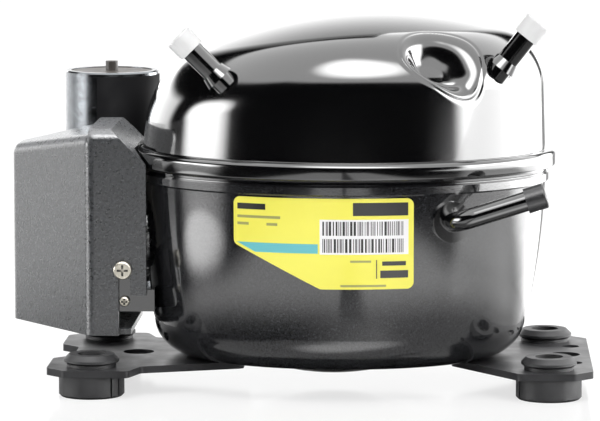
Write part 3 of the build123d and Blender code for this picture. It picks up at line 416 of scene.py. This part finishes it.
def pocket_press(x, y, z):
    """What the pocket adds to the dome's distance field at a point."""
    side, rise, out = pocket_axes()
    p = np.stack([x, y, z], -1) - POCKET_AT
    u = np.clip(p @ side, -POCKET_REACH, POCKET_REACH)
    v = np.clip(p @ rise, -POCKET_REACH, POCKET_REACH)
    wide = np.abs(u) / (POCKET_HALF_W - POCKET_TAPER * v)
    tall = np.abs(v) / (POCKET_HALF_H + POCKET_TAPER * u)
    edge = (wide**POCKET_POWER + tall**POCKET_POWER) ** (1 / POCKET_POWER)
    pit_wide = np.abs(u - PIT_SIDE) / PIT_HALF_W
    pit_tall = np.abs(v - PIT_RISE) / PIT_HALF_H
    pit = (pit_wide**PIT_POWER + pit_tall**PIT_POWER) ** (1 / PIT_POWER)
    across = np.maximum(1.0 - edge, 0.0)
    share = across / (across + np.maximum(pit - 1.0, 0.0) * POCKET_WALL + TINY)
    share = np.where(p @ out > -POCKET_REACH, share, 0.0)
    rim = POCKET_RIM * np.exp(-(((edge - RIM_AT) / RIM_WIDTH) ** 2))
    return POCKET_DEPTH * (share - 0.5 * np.sin(2 * math.pi * share) / (2 * math.pi)) + rim


def dome_field(x, y, z):
    """Distance from the outside of the dome, its pocket included."""
    share = (z - DRAFT_FOOT) / (DRAFT_TOP - DRAFT_FOOT)
    half_w = SHELL_W - share * (DRAFT_LEFT + DRAFT_RIGHT) / 2
    centre = SHELL_X + share * (DRAFT_LEFT - DRAFT_RIGHT) / 2
    column = oval_field(x - centre, y, half_w, SHELL_D - share * DRAFT_DEPTH)
    crown = np.sqrt((x - CROWN_X) ** 2 + y**2 + (z - CROWN_Z + CROWN_R) ** 2) - CROWN_R
    body = smooth_round(column, crown, SHOULDER_R)
    return body + pocket_press(x, y, z)


def make_object(name, points, faces, mat):
    """Smooth-shaded mesh object from points in millimetres."""
    mesh = bpy.data.meshes.new(name)
    mesh.from_pydata([tuple(v) for v in np.asarray(points) * MM], [], faces)
    mesh.materials.append(mat)
    mesh.polygons.foreach_set("use_smooth", [True] * len(mesh.polygons))
    mesh.update()
    made = bpy.data.objects.new(name, mesh)
    scene.collection.objects.link(made)
    return made


def grid_faces(rows, columns, first=0, closed=True):
    """Quads of a grid of points, closed round its columns."""
    faces = []
    for row in range(rows - 1):
        for column in range(columns if closed else columns - 1):
            after = (column + 1) % columns
            a, b = row * columns + column, row * columns + after
            faces.append((first + a, first + b, first + b + columns, first + a + columns))
    return faces


def dome_points():
    """Points where rays from the middle of the rim meet the dome, closer together at the pocket."""
    around = np.linspace(0, 2 * math.pi, DOME_TURNS, endpoint=False)
    pocket_turn = math.atan2(POCKET_AT[1], POCKET_AT[0] - SHELL_X)
    around = around - CROWD_TURNS * np.sin(around - pocket_turn)
    up = np.linspace(0, math.pi / 2, DOME_STEPS, endpoint=False)
    up = up + CROWD_STEPS * np.sin(2 * up) * np.cos(up)
    turn, rise = np.meshgrid(around, up)
    way = np.stack([np.cos(turn) * np.cos(rise), np.sin(turn) * np.cos(rise), np.sin(rise)], -1)
    low, high = np.zeros(turn.shape), np.full(turn.shape, RAY_REACH)
    start = np.array([SHELL_X, 0.0, RIM_Z])
    for _ in range(HALVINGS):
        middle = (low + high) / 2
        p = start + way * middle[..., None]
        inside = dome_field(p[..., 0], p[..., 1], p[..., 2]) < 0
        low, high = np.where(inside, middle, low), np.where(inside, high, middle)
    p = start + way * low[..., None]
    return p.reshape(-1, 3)


def dome_crest():
    """Highest point of the dome over the middle of the rim."""
    heights = np.linspace(CREST_LOW, CREST_HIGH, CREST_TRIES)
    column = dome_field(np.full(CREST_TRIES, SHELL_X), np.zeros(CREST_TRIES), heights)
    return np.array([SHELL_X, 0.0, heights[np.argmax(column > 0)]])


def arc_profile(out, height, radius, start, end, steps):
    """Points round a small arc of the lip's outline, its angles measured from outwards."""
    middle = LIP_Z + height
    return [
        (out + radius * math.cos(math.radians(a)), middle + radius * math.sin(math.radians(a)))
        for a in np.linspace(start, end, steps)
    ]


def lip_profile():
    """Outline of the lip from its foot up, as (out of the shell, height)."""
    profile = [(LIP_FOOT[0], LIP_Z + LIP_FOOT[1])]
    profile += arc_profile(*LIP_CORNER)
    profile += arc_profile(*LIP_BEAD)
    profile += [(LIP_NECK[0], LIP_Z + LIP_NECK[1])]
    profile += arc_profile(*LIP_FILLET)
    return profile


def oval_ring(profile):
    """Points of a profile of (out, height) carried round the oval of the rim."""
    turn = np.linspace(0, 2 * math.pi, LIP_COLUMNS, endpoint=False)
    points = []
    for out, height in profile:
        points += [
            (SHELL_X + (SHELL_W + out) * math.cos(t), (SHELL_D + out) * math.sin(t), height) for t in turn
        ]
    return points


def make_upper_shell():
    """Dome with its pressed pocket, and the lip round its foot."""
    points = list(dome_points()) + [dome_crest()]
    faces = grid_faces(DOME_STEPS, DOME_TURNS)
    crest = len(points) - 1
    last = (DOME_STEPS - 1) * DOME_TURNS
    faces += [(last + i, last + (i + 1) % DOME_TURNS, crest) for i in range(DOME_TURNS)]
    profile = lip_profile()
    first = len(points)
    points += oval_ring(profile)
    faces += grid_faces(len(profile), LIP_COLUMNS, first)
    return make_object("upper_shell_skin", points, faces, FINISHES["shell_paint"])


shell_skin = make_upper_shell()
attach(shell_skin, "shell")
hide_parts("upper_shell")


# ---------------------------------------------------------------- label print
LABEL_LEFT = -30.5
CUT_TOP = 60.6
CUT_RUN = 31.8
CUT_RISE = 16.2
RAY_FROM = -0.2
NEAR_LABEL = -0.08
PATCH_STEP = 2.0
LIFT = 0.03

BAR_SEED = 11
BAR_FROM = 1.9
BAR_UNTIL = 31.6
BAR_END = 32.2
BAR_ROWS = ((57.1, 62.2), (63.4, 68.6))
BAR_WIDTHS = [0.28, 0.28, 0.45, 0.62, 0.85]
BAR_GAPS = [0.28, 0.42, 0.6]
BLACK_SHARE = 0.55

# Patches as (x0, x1, z0, z1).
LABEL_STRIPE = [(-31.0, 0.2, 56.7, 60.2)]
LABEL_PANEL = [(0.9, 33.1, 56.4, 69.3)]
LABEL_BLOCKS = [
    (13.0, 33.0, 70.7, 75.5),
    (21.4, 21.75, 47.4, 54.4),
    (-29.4, -19.0, 72.4, 74.6),
    (23.6, 32.2, 52.2, 53.8),
    (22.9, 33.0, 47.6, 50.4),
]
GREY_RULES = [
    (-29.4, -13.5, 69.2, 70.2),
    (-29.4, -25.2, 66.6, 67.6),
    (-18.6, -14.6, 66.6, 67.6),
    (12.0, 19.6, 53.4, 54.2),
    (8.4, 25.0, 44.3, 45.1),
]


def surface_tree(name):
    """Search tree over the rest shape of a CAD node."""
    mesh = nodes[name].data
    points = [v.co[:] for v in mesh.vertices]
    return BVHTree.FromPolygons(points, [list(p.vertices) for p in mesh.polygons])


label_tree = surface_tree("nameplate_label")


def on_label(x, z, lift):
    """Point on the front of the label, raised by a lift."""
    hit = label_tree.ray_cast(Vector((x * MM, RAY_FROM, z * MM)), Vector((0, 1, 0)))[0]
    if hit is None:
        hit = label_tree.find_nearest(Vector((x * MM, NEAR_LABEL, z * MM)))[0]
    return (x, hit.y / MM - lift, z)


def label_left(z):
    """Left end of the label's face at a height, which follows its cut corner."""
    return LABEL_LEFT + max(0.0, CUT_TOP - z) * CUT_RUN / CUT_RISE


def printed_patch(x0, x1, z0, z1, lift):
    """Grid of points and faces laid on the label between two corners."""
    columns = max(2, int(math.ceil((x1 - x0) / PATCH_STEP)) + 1)
    rows = max(2, int(math.ceil((z1 - z0) / PATCH_STEP)) + 1)
    points = []
    for z in np.linspace(z0, z1, rows):
        points += [on_label(x, z, lift) for x in np.linspace(max(x0, label_left(z)), x1, columns)]
    return points, grid_faces(rows, columns, closed=False)


def printed(name, patches, lift, mat):
    """Piece made of patches laid on the label."""
    points, faces = [], []
    for x0, x1, z0, z1 in patches:
        some, some_faces = printed_patch(x0, x1, z0, z1, lift)
        faces += [tuple(len(points) + i for i in face) for face in some_faces]
        points += some
    made = make_object(name, points, faces, mat)
    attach(made, "shell")


def bar_rows():
    """Two rows of upright bars of mixed widths that encode nothing, as black and grey lists."""
    chance = np.random.default_rng(BAR_SEED)
    black, grey = [], []
    for low, high in BAR_ROWS:
        x = BAR_FROM
        while x < BAR_UNTIL:
            width = float(chance.choice(BAR_WIDTHS))
            shade = black if chance.random() < BLACK_SHARE else grey
            shade.append((x, min(x + width, BAR_END), low, high))
            x += width + float(chance.choice(BAR_GAPS))
    return black, grey


ink_black = label_print("label_black", (0.010, 0.010, 0.010), (0.020, 0.020, 0.020))
ink_grey = label_print("label_grey", (0.19, 0.18, 0.19), (0.24, 0.23, 0.24))
ink_blue = label_print("label_blue", (0.11, 0.48, 0.53), (0.13, 0.51, 0.55))
ink_white = label_print("label_white", (0.88, 0.87, 0.88), (0.84, 0.83, 0.84))
ink_faint = label_print("label_faint", (0.34, 0.33, 0.10), (0.38, 0.37, 0.12))
black_bars, grey_bars = bar_rows()
printed("label_stripe", LABEL_STRIPE, LIFT, ink_blue)
printed("label_block", LABEL_BLOCKS, LIFT, ink_black)
printed("label_panel", LABEL_PANEL, LIFT, ink_white)
printed("label_black_bars", black_bars, 2 * LIFT, ink_black)
printed("label_grey_bars", grey_bars, 2 * LIFT, ink_grey)
printed("label_rules", GREY_RULES, LIFT, ink_faint)


# ---------------------------------------------------------------- capacitor wrap
WRAP_FROM = -103.0
WRAP_TO = 118.0
WRAP_COLUMNS = 60
WRAP_RISE = 2.4
WRAP_TUCK = 0.3
WRAP_ROUND = 0.15


def make_wrap():
    """Plain black wrap that covers the can from its front left round to its back."""
    lo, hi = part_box("capacitor_sleeve")
    radius = (hi.x - lo.x) / 2 / MM
    mid_x, mid_y = (lo.x + hi.x) / 2 / MM, (lo.y + hi.y) / 2 / MM
    turns = np.radians(np.linspace(WRAP_FROM, WRAP_TO, WRAP_COLUMNS))
    low, high = lo.z / MM, hi.z / MM + WRAP_RISE
    profile = [
        (radius - WRAP_TUCK, low),
        (radius, low + WRAP_ROUND),
        (radius, high - WRAP_ROUND),
        (radius - WRAP_TUCK, high),
    ]
    points = [(mid_x + r * math.cos(t), mid_y + r * math.sin(t), z) for r, z in profile for t in turns]
    faces = grid_faces(len(profile), WRAP_COLUMNS, closed=False)
    return make_object("capacitor_wrap", points, faces, FINISHES["sleeve_black"])


wrap = make_wrap()
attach(wrap, "shell")
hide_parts("capacitor_sleeve")


# ---------------------------------------------------------------- stage
# Metres from here on. The camera and glass see white. Plain light comes from an even world and three
# lamps that no mirror shows, and mirrors see a graded studio of their own.
WHITE = (1.0, 1.0, 1.0, 1.0)
AMBIENT = 0.35

FLOOR_SIZE = 8.0
FLOOR_AT = (0.0, 3.2, 0.0)
FLOOR_COLOR = (0.9, 0.9, 0.9, 1.0)
FLOOR_ROUGH = 0.12
FLOOR_GLOSS = 0.14
FLOOR_WHITE = 1.22
FLOOR_OWN_LIGHT = 0.66

# The floor's painted glow for mirrors, with painted shade round the object and painted light patches. A fade
# is its start and end in metres, then its two strengths if not 0 and 1.
FLOOR_MIDDLE_X = 0.008
FLOOR_STRETCH = 1.25
PAINTED_SHADE_ROUND = (0.098, 0.160)
FLOOR_LEVEL = 1.9
FRONT_FADE = (0.20, 0.12)
BACK_FADE = (0.02, 0.12)
BACK_RIGHT = (0.05, 0.30, 1.0, 2.6)
FLOOR_PATCH_AT = (-0.30, -0.10)
FLOOR_PATCH_SIZE = (0.13, 0.09)
FLOOR_PATCH_FADE = (1.0, 0.2, 0.0, 4.5)
SLANT_NEAREST = 0.05
GAP_FROM = (0.12, 0.20)
GAP_TO = (0.75, 0.50)
GAP_DEPTH = -0.92
FAR_RIGHT = (0.55, 0.85, 0.0, 9.0)

# The studio for mirrors, in degrees of azimuth and elevation, its fades written in the same way.
PANEL_DIP_FROM = -38.0
PANEL_DIP_SPAN = 90.0
PANEL_DIP = 0.25
PANEL_BACK_FROM = 92.0
PANEL_BACK = 0.27
PANEL_EDGE = (33.0, 38.5)
PANEL_LEVEL = 3.1
HOT_AT = (3.0, 50.0)
HOT_SIZE = (30.0, 15.0)
HOT_TILT = 0.22
HOT_FADE = (1.7, 0.15, 0.0, 13.0)
LEFT_BOX_AT = (-76.0, 5.0)
LEFT_BOX_SIZE = (19.0, 14.0)
LEFT_BOX_POWER = 2.6
LEFT_BOX_FADE = (1.15, 0.0, 0.0, 15.0)
FAR_LEFT_START = (-105.0, -114.0)
FAR_LEFT_END = (-176.0, -160.0)
FAR_LEFT_TOP = (20.0, 14.0)
FAR_LEFT_LEVEL = 4.2
RIGHT_BOX_START = (54.0, 64.0)
RIGHT_BOX_END = (158.0, 146.0)
RIGHT_BOX_TOP = (26.0, 17.0)
RIGHT_BOX_LEVEL = (95.0, 125.0, 15.0, 7.0)
ROOM_RIGHT = (160.0, 171.0)
ROOM_LEFT = (-145.0, -163.0)
ROOM_HIGH = (54.0, 46.0, 0.0, 0.55)
ROOM_LOW = (46.0, 8.0, 0.0, 1.2)
HORIZON = (-9.0, -5.0)


def plane(name, size, at):
    """Flat level square, its size in metres."""
    mesh = bpy.data.meshes.new(name)
    h = size / 2
    mesh.from_pydata([(-h, -h, 0), (h, -h, 0), (h, h, 0), (-h, h, 0)], [], [(0, 1, 2, 3)])
    made = bpy.data.objects.new(name, mesh)
    scene.collection.objects.link(made)
    made.location = at
    return made


def linked(tree, kind, operation=None, **inputs):
    """First output of a new node, its inputs linked or set by their numbers, as in0 and in1."""
    node = tree.nodes.new(kind)
    if operation:
        node.operation = operation
    for key, value in inputs.items():
        target = node.inputs[int(key[2:])]
        if isinstance(value, (int, float, tuple)):
            target.default_value = value
        else:
            tree.links.new(value, target)
    return node.outputs[0]


def either(tree, a, b):
    """The greater of two values."""
    return linked(tree, "ShaderNodeMath", "MAXIMUM", in0=a, in1=b)


def seen_fraction(tree):
    """1 where the camera, a mirror or glass looks straight at the surface."""
    path = tree.nodes.new("ShaderNodeLightPath").outputs
    both = either(tree, path["Is Camera Ray"], path["Is Glossy Ray"])
    return either(tree, both, path["Is Transmission Ray"])


class Field:
    """Socket of a node tree, so that a shader's sums are written as sums."""

    def __init__(self, tree, out):
        self.tree, self.out = tree, out

    def op(self, operation, *others):
        values = [self.out] + [o.out if isinstance(o, Field) else float(o) for o in others]
        inputs = {f"in{i}": v for i, v in enumerate(values)}
        return Field(self.tree, linked(self.tree, "ShaderNodeMath", operation, **inputs))

    def __add__(self, other):
        return self.op("ADD", other)

    def __sub__(self, other):
        return self.op("SUBTRACT", other)

    def __mul__(self, other):
        return self.op("MULTIPLY", other)

    def __truediv__(self, other):
        return self.op("DIVIDE", other)

    def fade(self, start, end, low=0.0, high=1.0):
        """Smooth step from low at start to high at end."""
        node = self.tree.nodes.new("ShaderNodeMapRange")
        node.interpolation_type = "SMOOTHSTEP"
        for key, value in (("From Min", start), ("From Max", end), ("To Min", low), ("To Max", high)):
            socket(node, key, value)
        self.tree.links.new(self.out, node.inputs["Value"])
        return Field(self.tree, node.outputs[0])


def fields(tree, vector, axes):
    """Parts of a vector socket as fields."""
    apart = tree.nodes.new("ShaderNodeSeparateXYZ")
    tree.links.new(vector, apart.inputs[0])
    return [Field(tree, apart.outputs[axis]) for axis in axes]


def floor_glow(tree):
    """Strength of the floor's painted glow for a mirror: painted shade round the object, painted light
    patches and a painted darker wedge on it.
    """
    x, y = fields(tree, tree.nodes.new("ShaderNodeNewGeometry").outputs["Position"], "XY")
    radius_sq = ((x - FLOOR_MIDDLE_X) / FLOOR_STRETCH).op("POWER", 2.0) + y.op("POWER", 2.0)
    # painted shade round the object in the floor's mirror image
    near = radius_sq.op("SQRT").fade(*PAINTED_SHADE_ROUND)
    front = x.op("ABSOLUTE").fade(*FRONT_FADE)
    back = y.fade(*BACK_FADE) * x.fade(*BACK_RIGHT)
    # a painted light patch on the floor, seen only in mirrors
    across = (x - FLOOR_PATCH_AT[0]) / FLOOR_PATCH_SIZE[0]
    along = (y - FLOOR_PATCH_AT[1]) / FLOOR_PATCH_SIZE[1]
    patch = (across.op("POWER", 2.0) + along.op("POWER", 2.0)).fade(*FLOOR_PATCH_FADE)
    # a darker wedge painted into the floor's glow
    slant = x / y.op("MAXIMUM", SLANT_NEAREST)
    gap = slant.fade(*GAP_FROM) * slant.fade(*GAP_TO) * GAP_DEPTH + 1.0
    right = x.fade(*FAR_RIGHT)
    return near * (front.op("MAXIMUM", back) * FLOOR_LEVEL + right) * gap + patch


def floor_material():
    """White where it is looked at, yet it keeps the shadow and a faint mirror image."""
    mat = bpy.data.materials.new("pale_floor")
    mat.use_nodes = True
    tree = mat.node_tree
    tree.nodes.clear()
    out = tree.nodes.new("ShaderNodeOutputMaterial")
    diffuse = linked(tree, "ShaderNodeBsdfDiffuse", in0=FLOOR_COLOR)
    gloss = linked(tree, "ShaderNodeBsdfGlossy", in0=WHITE, in1=FLOOR_ROUGH)
    mirrored = tree.nodes.new("ShaderNodeLightPath").outputs["Is Glossy Ray"]
    # mirrors see the floor's painted glow, with its painted shade round the object
    strength = linked(tree, "ShaderNodeMix", in0=mirrored, in2=FLOOR_WHITE, in3=floor_glow(tree).out)
    glow = linked(tree, "ShaderNodeEmission", in0=WHITE, in1=strength)
    seen = linked(tree, "ShaderNodeMath", "MULTIPLY", in0=seen_fraction(tree), in1=FLOOR_OWN_LIGHT)
    lit = linked(tree, "ShaderNodeMixShader", in0=either(tree, seen, mirrored), in1=diffuse, in2=glow)
    mix = linked(tree, "ShaderNodeMixShader", in0=FLOOR_GLOSS, in1=lit, in2=gloss)
    tree.links.new(mix, out.inputs["Surface"])
    return mat


floor = plane("floor", FLOOR_SIZE, FLOOR_AT)
floor.data.materials.append(floor_material())


def studio_glow(tree):
    """Strength of the studio for a mirror, by azimuth and elevation in degrees."""
    x, y, z = fields(tree, tree.nodes.new("ShaderNodeTexCoord").outputs["Generated"], "XYZ")
    azimuth = x.op("ARCTAN2", y * -1.0).op("DEGREES")
    rise = z.op("ARCSINE").op("DEGREES")
    turned = azimuth.op("ABSOLUTE")

    # The overhead panel, whose near edge dips towards the right, with a hot middle.
    dip = (azimuth - PANEL_DIP_FROM).op("MAXIMUM", 0.0).op("MINIMUM", PANEL_DIP_SPAN) * PANEL_DIP
    back = (turned - PANEL_BACK_FROM).op("MAXIMUM", 0.0) * PANEL_BACK
    edge = (rise + dip - back).fade(*PANEL_EDGE)
    hot = ((azimuth - HOT_AT[0]) / HOT_SIZE[0]).op("POWER", 2.0)
    hot += ((rise + azimuth * HOT_TILT - HOT_AT[1]) / HOT_SIZE[1]).op("POWER", 2.0)
    panel = edge * (hot.fade(*HOT_FADE) + PANEL_LEVEL)

    # A soft box on the left and the strip of light beyond it.
    left = ((azimuth - LEFT_BOX_AT[0]) / LEFT_BOX_SIZE[0]).op("ABSOLUTE").op("POWER", LEFT_BOX_POWER)
    left += ((rise - LEFT_BOX_AT[1]) / LEFT_BOX_SIZE[1]).op("ABSOLUTE").op("POWER", LEFT_BOX_POWER)
    left_box = left.fade(*LEFT_BOX_FADE)
    far_left = azimuth.fade(*FAR_LEFT_START) * rise.fade(*FAR_LEFT_TOP)
    far_left = far_left * azimuth.fade(*FAR_LEFT_END) * FAR_LEFT_LEVEL

    # A long soft box on the right, and the pale room behind.
    right_box = azimuth.fade(*RIGHT_BOX_START) * rise.fade(*RIGHT_BOX_TOP)
    right_box = right_box * azimuth.fade(*RIGHT_BOX_END) * turned.fade(*RIGHT_BOX_LEVEL)
    behind = azimuth.fade(*ROOM_RIGHT) + azimuth.fade(*ROOM_LEFT)
    room = behind * (rise.fade(*ROOM_HIGH) + rise.fade(*ROOM_LOW))
    return panel + (left_box + (far_left + right_box).op("MAXIMUM", room)) * rise.fade(*HORIZON)


def make_world():
    """White where it is looked at, graded for mirrors, plain for light."""
    world = bpy.data.worlds.new("studio")
    scene.world = world
    world.use_nodes = True
    tree = world.node_tree
    tree.nodes.clear()
    out = tree.nodes.new("ShaderNodeOutputWorld")
    mirrored = linked(tree, "ShaderNodeBackground", in0=WHITE, in1=studio_glow(tree).out)
    lit = linked(tree, "ShaderNodeBackground", in0=WHITE, in1=AMBIENT)
    white = linked(tree, "ShaderNodeBackground", in0=WHITE, in1=1.0)
    path = tree.nodes.new("ShaderNodeLightPath").outputs
    glossy = linked(tree, "ShaderNodeMixShader", in0=path["Is Glossy Ray"], in1=lit, in2=mirrored)
    looked = either(tree, path["Is Camera Ray"], path["Is Transmission Ray"])
    mix = linked(tree, "ShaderNodeMixShader", in0=looked, in1=glossy, in2=white)
    tree.links.new(mix, out.inputs["Surface"])


make_world()


# ---------------------------------------------------------------- lamps and camera
MIDDLE = Vector((0.0, 0.0, 0.08))
LAMP_DISTANCE = 1.3
# Name, azimuth, elevation, width, height, watts.
LAMPS = (
    ("soft_box_top", 5.0, 70.0, 1.0, 0.8, 8.4),
    ("soft_box_left", -50.0, 25.0, 0.6, 0.8, 4.4),
    ("soft_box_right", 60.0, 25.0, 0.6, 0.8, 4.4),
)
CAMERA_AT = Vector((0.0509, -1.395, 0.2318))
CAMERA_LINE = Vector((-0.0428, 1.0, -0.1193))
CAMERA_LENS = 222.5
SENSOR_WIDTH = 36.0


def direction(azimuth, elevation):
    """Unit vector from the object, azimuth 0 towards the front and 90 towards +X."""
    a, e = math.radians(azimuth), math.radians(elevation)
    return Vector((math.sin(a) * math.cos(e), -math.cos(a) * math.cos(e), math.sin(e)))


def soft_box(name, azimuth, elevation, width, height, power):
    """Area light that faces the object and shows neither in the picture nor in a mirror."""
    light = bpy.data.lights.new(name, "AREA")
    light.shape = "RECTANGLE"
    light.size = width
    light.size_y = height
    light.energy = power
    lamp = bpy.data.objects.new(name, light)
    scene.collection.objects.link(lamp)
    way = direction(azimuth, elevation)
    lamp.location = MIDDLE + way * LAMP_DISTANCE
    lamp.rotation_euler = way.to_track_quat("Z", "Y").to_euler()
    lamp.visible_camera = False
    lamp.visible_glossy = False


for lamp_row in LAMPS:
    soft_box(*lamp_row)

camera_data = bpy.data.cameras.new("camera")
camera_data.sensor_width = SENSOR_WIDTH
camera_data.lens = CAMERA_LENS
camera = bpy.data.objects.new("camera", camera_data)
scene.collection.objects.link(camera)
camera.location = CAMERA_AT
camera.rotation_euler = CAMERA_LINE.to_track_quat("-Z", "Y").to_euler()
scene.camera = camera

scene.view_settings.view_transform = "Standard"
